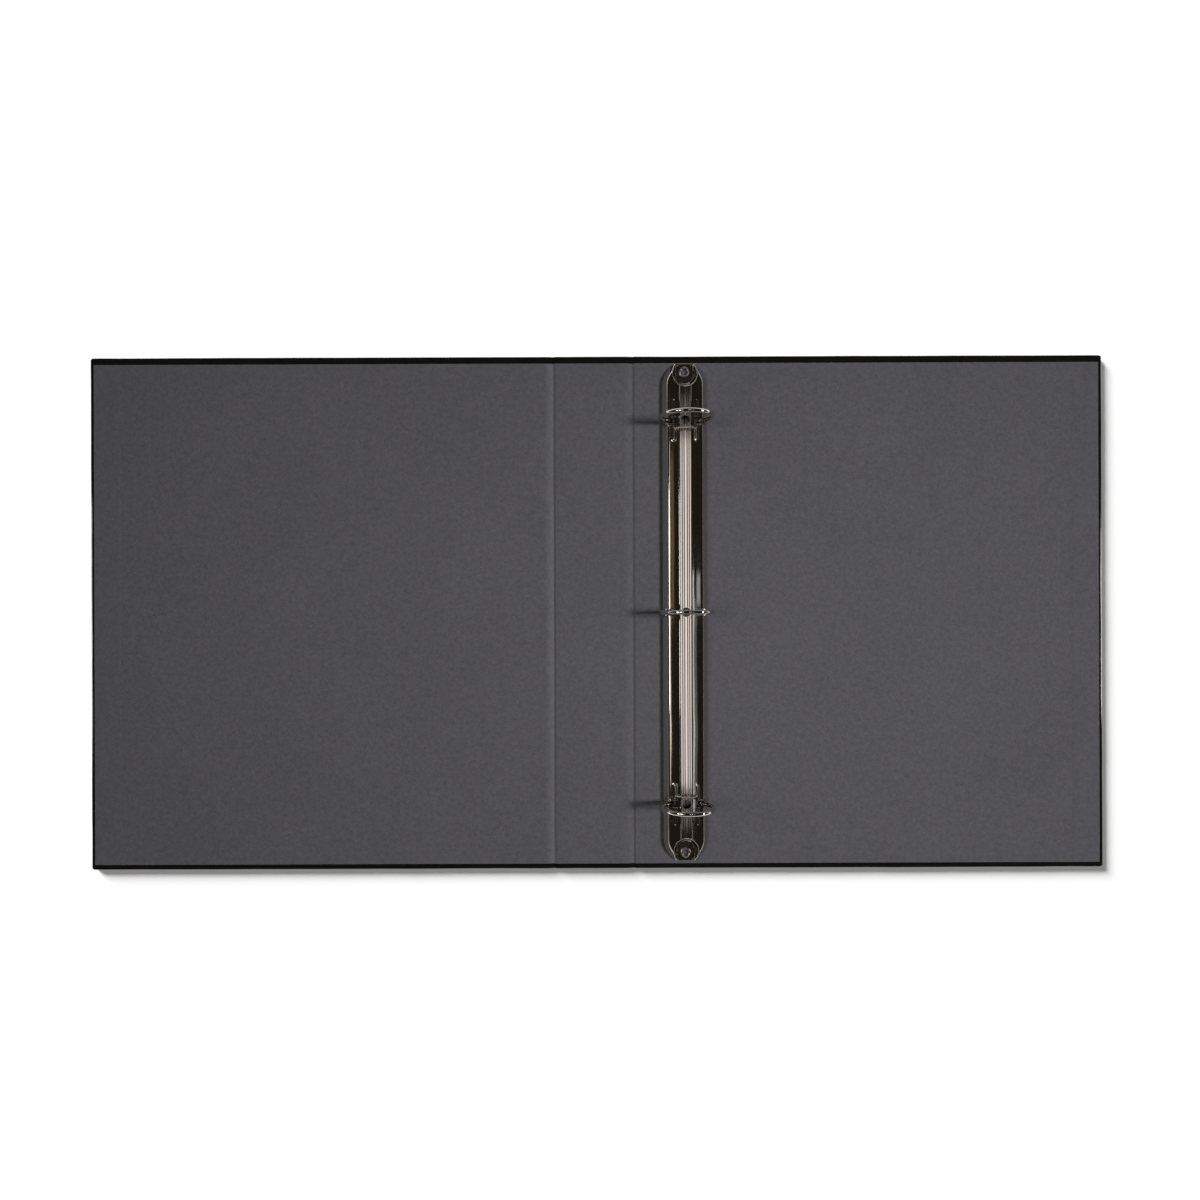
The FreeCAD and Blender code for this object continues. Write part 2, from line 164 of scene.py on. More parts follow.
def grid_faces(rows, columns, keep=None, wrap_columns=False):
    """Corner numbers of the squares between the points of a grid, less those that keep drops."""
    index = np.arange(rows * columns).reshape(rows, columns)
    if wrap_columns:
        index = np.hstack([index, index[:, :1]])
    faces = np.stack([index[:-1, :-1], index[1:, :-1], index[1:, 1:], index[:-1, 1:]], axis=-1)
    return faces[keep] if keep is not None else faces.reshape(-1, 4)


def merge_and_orient(piece, distance=0.002 * MM):
    """Join points that share a place, drop faces of no area, and turn every face outwards."""
    work = bmesh.new()
    work.from_mesh(piece.data)
    bmesh.ops.remove_doubles(work, verts=work.verts, dist=distance)
    bmesh.ops.dissolve_degenerate(work, edges=work.edges, dist=distance)
    bmesh.ops.recalc_face_normals(work, faces=work.faces)
    work.to_mesh(piece.data)
    work.free()


def apply_modifiers(piece, crisp=None):
    """Bake the modifiers into the mesh, and keep edges sharper than crisp degrees crisp."""
    graph = bpy.context.evaluated_depsgraph_get()
    finished = bpy.data.meshes.new_from_object(piece.evaluated_get(graph))
    piece.modifiers.clear()
    piece.data = finished
    if crisp:
        finished.set_sharp_from_angle(angle=math.radians(crisp))


def thicken(piece, thickness, even=True):
    """Give a sheet its thickness on the inner side; even keeps it the same round corners."""
    solid = piece.modifiers.new("thickness", "SOLIDIFY")
    solid.thickness = thickness
    solid.offset = -1.0
    solid.use_even_offset = even


def soften(piece, width, angle=50.0):
    """A small round on every edge sharper than angle."""
    bevel = piece.modifiers.new("softened edges", "BEVEL")
    bevel.width = width
    bevel.segments = 2
    bevel.limit_method = "ANGLE"
    bevel.angle_limit = math.radians(angle)
    bevel.harden_normals = True


def dress(piece, material):
    """Give a piece its material."""
    piece.data.materials.clear()
    piece.data.materials.append(material)
    return piece


# ---------------------------------------------------------------- shader node groups and materials
def new_group(name, inputs, outputs):
    """A node group with float inputs (name, default) and named float outputs."""
    group = bpy.data.node_groups.new(name, "ShaderNodeTree")
    for label, value in inputs:
        socket = group.interface.new_socket(label, in_out="INPUT", socket_type="NodeSocketFloat")
        socket.default_value = value
    for label in outputs:
        group.interface.new_socket(label, in_out="OUTPUT", socket_type="NodeSocketFloat")
    return group, group.nodes.new("NodeGroupInput"), group.nodes.new("NodeGroupOutput")


def math_node(tree, operation, a, b=None):
    """A Math node fed by sockets or numbers."""
    node = tree.nodes.new("ShaderNodeMath")
    node.operation = operation
    for socket, value in zip(node.inputs, (a, b)):
        if value is None:
            continue
        if isinstance(value, (int, float)):
            socket.default_value = value
        else:
            tree.links.new(value, socket)
    return node.outputs[0]


def noise_node(tree, vector, scale, detail, roughness=0.5):
    """A Noise Texture's factor at a scale in waves per metre."""
    node = tree.nodes.new("ShaderNodeTexNoise")
    node.inputs["Detail"].default_value = detail
    node.inputs["Roughness"].default_value = roughness
    tree.links.new(vector, node.inputs["Vector"])
    if isinstance(scale, (int, float)):
        node.inputs["Scale"].default_value = scale
    else:
        tree.links.new(scale, node.inputs["Scale"])
    return node.outputs["Fac"]


def grain_group():
    """Fine, middle and broad mottling of a surface, each from -0.5 to 0.5 about its mean."""
    scales = [("Fine", 2500.0), ("Middle", 350.0), ("Broad", 25.0)]
    group, given, made = new_group("mottled grain", scales, ["Fine", "Middle", "Broad"])
    where = group.nodes.new("ShaderNodeTexCoord").outputs["Object"]
    for label, detail in (("Fine", 4.0), ("Middle", 3.0), ("Broad", 2.0)):
        value = noise_node(group, where, given.outputs[label], detail, 0.6)
        group.links.new(math_node(group, "SUBTRACT", value, 0.5), made.inputs[label])
    return group


def stroke_group():
    """Long fine strokes along Y, from -0.5 to 0.5, as drawing or rolling leaves in metal."""
    group, given, made = new_group("drawn strokes", [("Across", 3000.0), ("Along", 30.0)], ["Height"])
    where = group.nodes.new("ShaderNodeTexCoord").outputs["Object"]
    split = group.nodes.new("ShaderNodeSeparateXYZ")
    group.links.new(where, split.inputs[0])
    join = group.nodes.new("ShaderNodeCombineXYZ")
    for axis, factor in (("X", "Across"), ("Y", "Along"), ("Z", "Across")):
        group.links.new(math_node(group, "MULTIPLY", split.outputs[axis], given.outputs[factor]),
                        join.inputs[axis])
    value = noise_node(group, join.outputs[0], 1.0, 3.0)
    group.links.new(math_node(group, "SUBTRACT", value, 0.5), made.inputs["Height"])
    return group


def new_material(name, color, roughness, metallic=0.0, specular=0.5):
    """A material with one Principled shader, and its tree and shader."""
    material = bpy.data.materials.new(name)
    material.use_nodes = True
    tree = material.node_tree
    shader = tree.nodes["Principled BSDF"]
    shader.inputs["Base Color"].default_value = (*color, 1.0)
    shader.inputs["Roughness"].default_value = roughness
    shader.inputs["Metallic"].default_value = metallic
    shader.inputs["Specular IOR Level"].default_value = specular
    return material, tree, shader


def use_group(tree, group, **values):
    """Place a node group and set its inputs."""
    node = tree.nodes.new("ShaderNodeGroup")
    node.node_tree = group
    for label, value in values.items():
        node.inputs[label].default_value = value
    return node


def tinted(tree, shader, base, terms):
    """Base Color as base times one plus the sum of each mask times its strength."""
    total = 1.0
    for socket, strength in terms:
        total = math_node(tree, "ADD", math_node(tree, "MULTIPLY", socket, strength), total)
    scale = tree.nodes.new("ShaderNodeVectorMath")
    scale.operation = "SCALE"
    scale.inputs[0].default_value = base
    tree.links.new(total, scale.inputs["Scale"])
    tree.links.new(scale.outputs[0], shader.inputs["Base Color"])


def roughened(tree, shader, base, terms):
    """Roughness as base plus each mask times its strength, kept above a floor."""
    total = base
    for socket, strength in terms:
        total = math_node(tree, "ADD", math_node(tree, "MULTIPLY", socket, strength), total)
    tree.links.new(math_node(tree, "MAXIMUM", total, 0.02), shader.inputs["Roughness"])


def bumped(tree, shader, layers):
    """Chain Bump nodes: each layer is a height mask and its size in metres."""
    normal = None
    for socket, size in layers:
        bump = tree.nodes.new("ShaderNodeBump")
        bump.inputs["Strength"].default_value = 1.0
        bump.inputs["Distance"].default_value = size
        tree.links.new(socket, bump.inputs["Height"])
        if normal:
            tree.links.new(normal, bump.inputs["Normal"])
        normal = bump.outputs["Normal"]
    tree.links.new(normal, shader.inputs["Normal"])


def crease_highlight_group():
    """Mask of a painted highlight along a crease, across X: a slow rise from Start to Peak and a quick fall
    to End.
    """
    places = [("Start", 0.0), ("Peak", 0.004), ("End", 0.006)]
    group, given, made = new_group("worn crease", places, ["Worn"])
    split = group.nodes.new("ShaderNodeSeparateXYZ")
    group.links.new(group.nodes.new("ShaderNodeTexCoord").outputs["Object"], split.inputs[0])
    sides = []
    for low, high in (("Start", "Peak"), ("End", "Peak")):
        ramp = group.nodes.new("ShaderNodeMapRange")
        ramp.interpolation_type = "SMOOTHSTEP"
        group.links.new(split.outputs["X"], ramp.inputs["Value"])
        group.links.new(given.outputs[low], ramp.inputs["From Min"])
        group.links.new(given.outputs[high], ramp.inputs["From Max"])
        sides.append(ramp.outputs["Result"])
    group.links.new(math_node(group, "MULTIPLY", *sides), made.inputs["Worn"])
    return group


GRAIN = grain_group()
STROKES = stroke_group()
CREASE_HIGHLIGHT = crease_highlight_group()


def liner_paper():
    """Dark grey uncoated paper: fine tooth, faint fibre clouds, slightly velvety, with painted highlight
    bands beside the hinge grooves.
    """
    base = (0.0795, 0.0788, 0.0855)
    material, tree, shader = new_material("dark grey liner paper", base, 0.6, specular=0.1)
    grain = use_group(tree, GRAIN, Fine=1500.0, Middle=420.0, Broad=14.0)
    front = use_group(tree, CREASE_HIGHLIGHT, Start=FRONT_GAP[0] - 1.0 * MM, Peak=FRONT_GAP[0] + 3.8 * MM,
                      End=FRONT_GAP[0] + 5.2 * MM)
    back = use_group(tree, CREASE_HIGHLIGHT, Start=BACK_GAP[0] - 1.5 * MM, Peak=BACK_GAP[0] + 3.4 * MM,
                     End=BACK_GAP[0] + 5.0 * MM)
    # The two crease masks lighten the paper in bands beside the hinge grooves: painted highlight standing
    # for light on the grooves' slopes, not wear.
    tinted(tree, shader, base, [(grain.outputs["Fine"], 0.9), (grain.outputs["Middle"], 0.5),
                                (grain.outputs["Broad"], 0.15), (front.outputs["Worn"], 0.3),
                                (back.outputs["Worn"], 0.1)])
    bumped(tree, shader, [(grain.outputs["Middle"], 0.06 * MM), (grain.outputs["Fine"], 0.05 * MM)])
    shader.inputs["Sheen Weight"].default_value = 0.05
    return material


def wrap_laminate():
    """Black paper under a clear glossy film that shows the paper's broad unevenness."""
    base = (0.0035, 0.0035, 0.0032)
    material, tree, shader = new_material("black laminated wrap", base, 0.1)
    grain = use_group(tree, GRAIN, Fine=900.0, Middle=160.0, Broad=30.0)
    tinted(tree, shader, base, [(grain.outputs["Middle"], 0.6)])
    roughened(tree, shader, 0.1, [(grain.outputs["Middle"], 0.1), (grain.outputs["Broad"], 0.06)])
    bumped(tree, shader, [(grain.outputs["Broad"], 0.08 * MM), (grain.outputs["Middle"], 0.02 * MM),
                          (grain.outputs["Fine"], 0.004 * MM)])
    return material


def grey_board():
    """Recycled paper board: grey-brown with pale and dark fibres."""
    base = (0.30, 0.28, 0.25)
    material, tree, shader = new_material("grey paper board", base, 0.9, specular=0.2)
    grain = use_group(tree, GRAIN, Fine=1800.0, Middle=500.0, Broad=60.0)
    tinted(tree, shader, base, [(grain.outputs["Fine"], 0.9), (grain.outputs["Middle"], 0.4)])
    bumped(tree, shader, [(grain.outputs["Fine"], 0.08 * MM)])
    return material


def nickel(name, base, roughness, strokes, wear):
    """Bright nickel plate: faint drawn strokes under it and broad soft smears over it."""
    material, tree, shader = new_material(name, base, roughness, metallic=1.0)
    grain = use_group(tree, GRAIN, Fine=2200.0, Middle=180.0, Broad=35.0)
    drawn = use_group(tree, STROKES, Across=2600.0, Along=24.0)
    tinted(tree, shader, base, [(grain.outputs["Broad"], 0.08), (drawn.outputs["Height"], 0.06)])
    roughened(tree, shader, roughness, [(grain.outputs["Middle"], wear), (grain.outputs["Broad"], wear)])
    bumped(tree, shader, [(drawn.outputs["Height"], strokes), (grain.outputs["Middle"], 0.004 * MM)])
    return material


LINER_PAPER = liner_paper()
WRAP_LAMINATE = wrap_laminate()
GREY_BOARD = grey_board()
PLATE_NICKEL = nickel("nickel plated strip", (0.66, 0.62, 0.57), 0.07, 0.002 * MM, 0.05)
WIRE_NICKEL = nickel("nickel plated wire", (0.66, 0.63, 0.59), 0.06, 0.0005 * MM, 0.04)
RIVET_NICKEL = nickel("nickel plated rivet", (0.5, 0.475, 0.45), 0.3, 0.001 * MM, 0.08)
BLADE_STEEL = nickel("rolled steel strip", (0.42, 0.41, 0.40), 0.3, 0.01 * MM, 0.15)


# ---------------------------------------------------------------- case: wrap and liner
def groove(x, gap):
    """How deep a hinge groove is at x, from 0 on the boards to 1 at its lowest.

    It steepens towards the back cover over two thirds of the gap, as a power of the way
    along, and rises again over a quarter of it as a smooth step.
    """
    start, end = gap
    t = (x - start) / (end - start)
    down = np.clip((t + 0.1) / 0.7, 0.0, 1.0) ** 1.6
    return down * (1.0 - smooth((t - 0.58) / 0.26))


def both_grooves(x):
    """The two hinge grooves together."""
    return groove(x, FRONT_GAP) + groove(x, BACK_GAP)


def case_outline(side):
    """Which way a half case runs, its fore-edge x and its gap: side is -1 front, +1 back."""
    return (BACK_HI[0], BACK_GAP) if side > 0 else (FRONT_LO[0], FRONT_GAP)


def rim_path(side):
    """Path round a half case's free edges, from the spine's middle to the fore-edge and back.

    Rows of: x, y along the edge with CORNER_RADIUS at the corners; the outward direction;
    and 1 on the head's or tail's side of the corner fold, 0 on the fore-edge's.
    """
    fore, gap = case_outline(side)
    near, far = (gap if side > 0 else gap[::-1])
    centre_x = fore - side * CORNER_RADIUS
    centre_y = HALF_HEIGHT - CORNER_RADIUS
    xs = stations((SPINE_MIDDLE, near - side * 1.0 * MM, 3.0 * MM),
                  (near - side * 1.0 * MM, far + side * 1.0 * MM, 0.2 * MM),
                  (far + side * 1.0 * MM, centre_x - side * 6.0 * MM, 4.0 * MM),
                  (centre_x - side * 6.0 * MM, centre_x, 0.6 * MM))
    ys = stations((centre_y, centre_y - 6.0 * MM, 0.6 * MM),
                  (centre_y - 6.0 * MM, 6.0 * MM - centre_y, 4.0 * MM),
                  (6.0 * MM - centre_y, -centre_y, 0.6 * MM))
    turn = np.radians(np.array([9, 18, 27, 36, 43.5, 46.5, 54, 63, 72, 81.0]))
    folded = (turn < math.pi / 4).astype(float)
    zeros, ones = np.zeros_like, np.ones_like
    head = np.stack([xs, ones(xs) * HALF_HEIGHT, zeros(xs), ones(xs), ones(xs)], 1)
    corner = np.stack([centre_x + side * CORNER_RADIUS * np.sin(turn),
                       centre_y + CORNER_RADIUS * np.cos(turn),
                       side * np.sin(turn), np.cos(turn), folded], 1)
    edge = np.stack([ones(ys) * fore, ys, side * ones(ys), zeros(ys), zeros(ys)], 1)
    flip = np.array([1, -1, 1, -1, 1.0])
    return np.vstack([head, corner, edge, corner[::-1] * flip, head[::-1] * flip])


def wrap_surface(side):
    """Outer face of half the wrap, as rows along the rim path and columns round its fold.

    Columns: over the turned-in flap to the edge, a quarter round, down the side, a quarter
    round, and under the case to its middle line. Between boards the case is thin, so the
    rounds shrink to half of what is there. The flap is a little lower at the corner folds.
    """
    path = rim_path(side)
    x, y, out_x, out_y, folded = path.T
    fore, _ = case_outline(side)
    sink = both_grooves(x)
    along = np.cumsum(np.hypot(np.diff(x, prepend=x[0]), np.diff(y, prepend=y[0])))
    top = WRAP_TOP - GROOVE_DEPTH * sink
    low = CREASE_RELIEF * sink
    radius = np.minimum(EDGE_RADIUS * (1 + 0.12 * waves(along, 11 + side, 60 * MM)), (top - low) * 0.48)
    wander = 0.06 * MM * waves(along, 21 + side, 180 * MM)
    window_x = np.where(side * x > side * (fore - side * FORE_TURN_IN), fore - side * FORE_TURN_IN, x)
    window_y = np.clip(y, -(HALF_HEIGHT - HEAD_TURN_IN), HALF_HEIGHT - HEAD_TURN_IN)
    columns = []

    def column(inset, z, blend=None):
        """Places inset from the edge at height z, drawn towards the flap's inner edge by blend."""
        px, py = x - out_x * (inset - wander), y - out_y * (inset - wander)
        if blend is not None:
            px, py = px + (window_x - px) * blend, py + (window_y - py) * blend
        columns.append(np.stack([px, py, z], 1))

    ripple = 0.05 * MM * waves(along, 31 + side, 24 * MM)
    fold = 0.14 * MM * folded * smooth(np.abs(x - SPINE_MIDDLE) / MM)
    near_corner = np.exp(-np.hypot(x - fore, np.abs(y) - HALF_HEIGHT) / (5 * MM))
    for share in (1.0, 0.7, 0.4, 0.2, 0.1, 0.04):
        column(radius, top + ripple * share * (1 - share), share)
    for angle in np.radians([0, 22.5, 45, 67.5, 90]):
        column(radius * (1 - math.sin(angle)), top - radius * (1 - math.cos(angle)) - fold * near_corner)
    for share in (0.33, 0.67):
        column(np.zeros_like(radius), (top - radius) + (low - top + 2 * radius) * share)
    for angle in np.radians([90, 67.5, 45, 22.5, 0]):
        column(radius * (1 - math.sin(angle)), low + radius * (1 - math.cos(angle)))
    middle_x = np.where(side * x > side * fore - HALF_HEIGHT, fore - side * HALF_HEIGHT, x)
    for share in (0.02, 0.08, 0.25, 0.5, 0.75, 1.0):
        px = x - out_x * radius
        py = y - out_y * radius
        columns.append(np.stack([px + (middle_x - px) * share, py * (1 - share), low], 1))
    return np.stack(columns, 1)


def half_wrap(side):
    """Half the wrap as a thin closed sheet with holes for the rivets on the back cover."""
    name = "back_half_wrap" if side > 0 else "front_half_wrap"
    points = wrap_surface(side)
    faces = grid_faces(points.shape[0], points.shape[1])
    piece = mesh_object(name, points, faces if side > 0 else faces[:, ::-1])
    merge_and_orient(piece)
    thicken(piece, WRAP_THICKNESS, even=False)
    cutters = rivet_cutters(piece) if side > 0 else []
    apply_modifiers(piece, 40)
    for cutter in cutters:
        bpy.data.objects.remove(cutter)
    return piece


def rivet_cutters(piece):
    """Bore a hole for each rivet through both layers, wide enough for its head, by a round block."""
    radius = (RIVET_HI[0] - RIVET_LO[0]) / 2 + 0.05 * MM
    cutters = [round_cutter(radius, PLATE_X, y, -10 * MM, 10 * MM) for y in RIVET_YS]
    for cutter in cutters:
        hole = piece.modifiers.new("round hole", "BOOLEAN")
        hole.object = cutter
        hole.solver = "EXACT"
    return cutters


def round_cutter(radius, x, y, low, high, count=48):
    """A tall round block to cut a hole with."""
    turn = np.linspace(0, 2 * math.pi, count, endpoint=False)
    ring = np.stack([x + radius * np.cos(turn), y + radius * np.sin(turn)], 1)
    points = np.concatenate([np.column_stack([ring, np.full(count, z)]) for z in (low, high)])
    index = np.arange(count)
    after = (index + 1) % count
    faces = np.stack([index, after, after + count, index + count], 1).tolist()
    faces += [list(range(count - 1, -1, -1)), list(range(count, 2 * count))]
    mesh = bpy.data.meshes.new("cutter")
    mesh.from_pydata(points.tolist(), [], faces)
    cutter = bpy.data.objects.new("cutter", mesh)
    bpy.context.scene.collection.objects.link(cutter)
    return cutter


def liner_surface(side):
    """Upper face of half the liner: a height over x and y.

    It lies one thickness above the turned-in flaps, a step lower inside them, and follows the
    hinge groove down. Faint broad undulation comes from the paste under it.
    """
    fore, gap = case_outline(side)
    near, far = (gap if side > 0 else gap[::-1])
    margin_x = LINER_HI[0] if side > 0 else FRONT_LO[0] + (BACK_HI[0] - LINER_HI[0])
    flap_x = fore - side * FORE_TURN_IN
    flap_y = HALF_HEIGHT - HEAD_TURN_IN
    margin_y = LINER_HI[1]
    xs = stations((SPINE_MIDDLE, near - side * 1.5 * MM, 4.0 * MM),
                  (near - side * 1.5 * MM, far + side * 1.5 * MM, 0.2 * MM),
                  (far + side * 1.5 * MM, flap_x - side * 2 * MM, 5.0 * MM),
                  (flap_x - side * 2 * MM, flap_x + side * 2 * MM, 0.4 * MM),
                  (flap_x + side * 2 * MM, margin_x, 2.0 * MM))
    half = stations((0, flap_y - 2 * MM, 5.0 * MM), (flap_y - 2 * MM, flap_y + 2 * MM, 0.4 * MM),
                    (flap_y + 2 * MM, margin_y - 1 * MM, 1.5 * MM), (margin_y - 1 * MM, margin_y, 0.5 * MM))
    ys = np.concatenate([-half[:0:-1], half])
    last = flap_y + 2 * MM
    ys = np.where(ys > last, last + (ys - last) * (1 - HEAD_SETBACK / (margin_y - last)), ys)
    x, y = np.meshgrid(xs, ys, indexing="ij")
    inside = (smooth((flap_y - np.abs(y)) / STEP_WIDTH + 0.5)
              * smooth(side * (flap_x - x) / STEP_WIDTH + 0.5))
    top = SEAT - TURN_IN_STEP * inside
    top -= GROOVE_DEPTH * both_grooves(x)
    top += 0.015 * MM * waves(x + 0.6 * y, 41, 90 * MM) * waves(y - 0.4 * x, 42, 70 * MM) * inside
    return np.stack([x, y, top], -1)


def half_liner(side):
    """Half the liner as a thin sheet of paper."""
    name = "back_half_liner" if side > 0 else "front_half_liner"
    points = liner_surface(side)
    faces = grid_faces(points.shape[0], points.shape[1])
    piece = mesh_object(name, points, faces if side > 0 else faces[:, ::-1])
    thicken(piece, LINER_THICKNESS)
    apply_modifiers(piece, 40)
    return piece


def bend_across(piece):
    """Bake a half case's sheet's placement into its mesh."""
    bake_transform(piece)


def make_case():
    """The wrap and the liner, each in two halves that meet on the flat of the spine."""
    for side, word in ((1, "back"), (-1, "front")):
        wrap = dress(half_wrap(side), WRAP_LAMINATE)
        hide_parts(word + "_wrap", word + "_hinge_wrap", "spine_wrap")
        bend_across(wrap)
        liner = dress(half_liner(side), LINER_PAPER)
        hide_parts(word + "_liner", word + "_hinge_liner", "spine_liner")
        bend_across(liner)


# ---------------------------------------------------------------- ring mechanism
def soft_min(a, b, blend):
    """The smaller of two heights, rounded where they cross: minus blend (1 - |a - b| / blend)^2 / 4."""
    near = np.clip(1.0 - np.abs(a - b) / blend, 0.0, 1.0)
    return np.minimum(a, b) - blend * near * near / 4.0


def plan_inset(x, y):
    """How far inside the housing's plan outline a place lies, in millimetres.

    Its straight sides end PLATE_STRAIGHT from the middle and then curve in on the bow's radius.
    """
    straight = PLATE_HALF_WIDTH - np.abs(x)
    curved = PLATE_BOW - np.hypot(np.maximum(np.abs(x) - (PLATE_HALF_WIDTH - PLATE_BOW), 0),
                                  np.abs(y) - PLATE_STRAIGHT)
    return np.where(np.abs(y) < PLATE_STRAIGHT, straight, curved)


def plan_half_width(y, inset):
    """Half the width of the plan outline, drawn in by inset, and its outward direction, at y."""
    past = np.maximum(np.abs(y) - PLATE_STRAIGHT, 0)
    half = PLATE_HALF_WIDTH - PLATE_BOW + np.sqrt((PLATE_BOW - inset) ** 2 - past ** 2)
    lean = np.arcsin(past / (PLATE_BOW - inset))
    return half, np.cos(lean), np.sin(lean) * np.sign(y)


def housing_height(x, y):
    """Height of the housing's outer face above its seat, in millimetres.

    A round crown with a fluted ridge, rounded over into sides that rise side_rise for each
    1 inwards; long beads beside the outer rings; and a horseshoe dish round each rivet, whose
    wall starts as a parabola and goes on straight. The crown and the ridge lean a little from
    side to side along the strip, as sheet metal does.
    """
    side_foot, side_rise, side_blend = 0.3, 1.54, 0.8
    ridge_rise, ridge_round = 0.45, 0.36
    flutes, flute_half, flute_depth = (0.85, 1.97), 0.28, 0.04
    bead_rise, bead_half, bead_blend = 0.5, 10.75, 0.15
    dish_flat, dish_run, dish_rise, dish_blend = 4.3, 2.9, 7.4, 0.5
    crown = CROWN_TOP - CROWN_RADIUS + np.sqrt(CROWN_RADIUS ** 2 - x ** 2) + 0.008 * x * waves(y, 51, 95.0)
    rim = np.clip((RIDGE_HALF_WIDTH - np.abs(x)) / ridge_round, 0.0, 1.0)
    ridge = (CROWN_TOP + ridge_rise - ridge_round * (1.0 - np.sqrt(1.0 - (1.0 - rim) ** 2))
             - 2.0 * (np.abs(x) > RIDGE_HALF_WIDTH))
    for place in flutes:
        away = np.clip(np.abs(np.abs(x) - place) / flute_half, 0.0, 1.0)
        ridge -= flute_depth / 2 * (1.0 + np.cos(math.pi * away))
    crown = np.maximum(crown, ridge + 0.003 * x * waves(y, 53, 120.0))
    height = soft_min(crown, side_foot + side_rise * plan_inset(x, y), side_blend)
    bead_axis = (CROWN_TOP - CROWN_RADIUS + math.sqrt(CROWN_RADIUS ** 2 - BEAD_FROM_MIDDLE ** 2)
                 + bead_rise - BEAD_RADIUS)
    for ring_y in (RING_YS[0] / MM, RING_YS[2] / MM):
        away = np.hypot(np.abs(x) - BEAD_FROM_MIDDLE, np.maximum(np.abs(y - ring_y) - bead_half, 0))
        bead = (bead_axis + np.sqrt(np.clip(BEAD_RADIUS ** 2 - away ** 2, 0, None))
                - 9.0 * (away > BEAD_RADIUS))
        height = -soft_min(-height, -bead, bead_blend)
    along = np.abs(y) - DISH_MIDDLE
    away = np.where(along < 0, np.hypot(x, along), np.abs(x))
    t = np.clip((away - dish_flat) / dish_run, 0, None)
    dish = PLATE_SHEET + dish_rise * np.where(t < 0.5, t * t, t - 0.25)
    return soft_min(height, dish, dish_blend)


def round_hole(x, y, middle, inner, reach, radius):
    """Draw a grid's square of half side inner, round (0, middle), out to a circle of that radius.

    Places between that square and the one of half side reach move along straight lines from
    the circle to the outer square; places beyond it stay.
    """
    dy = y - middle
    ring = np.maximum(np.abs(x), np.abs(dy))
    safe = np.maximum(ring, 1e-6)
    length = np.maximum(np.hypot(x, dy), 1e-6)
    share = np.clip((ring - inner) / (reach - inner), 0, 1)
    inside = (ring < reach) & (ring > inner - 1e-6)
    new_x = radius * x / length * (1 - share) + reach * x / safe * share
    new_y = radius * dy / length * (1 - share) + reach * dy / safe * share
    return np.where(inside, new_x, x), np.where(inside, middle + new_y, y)


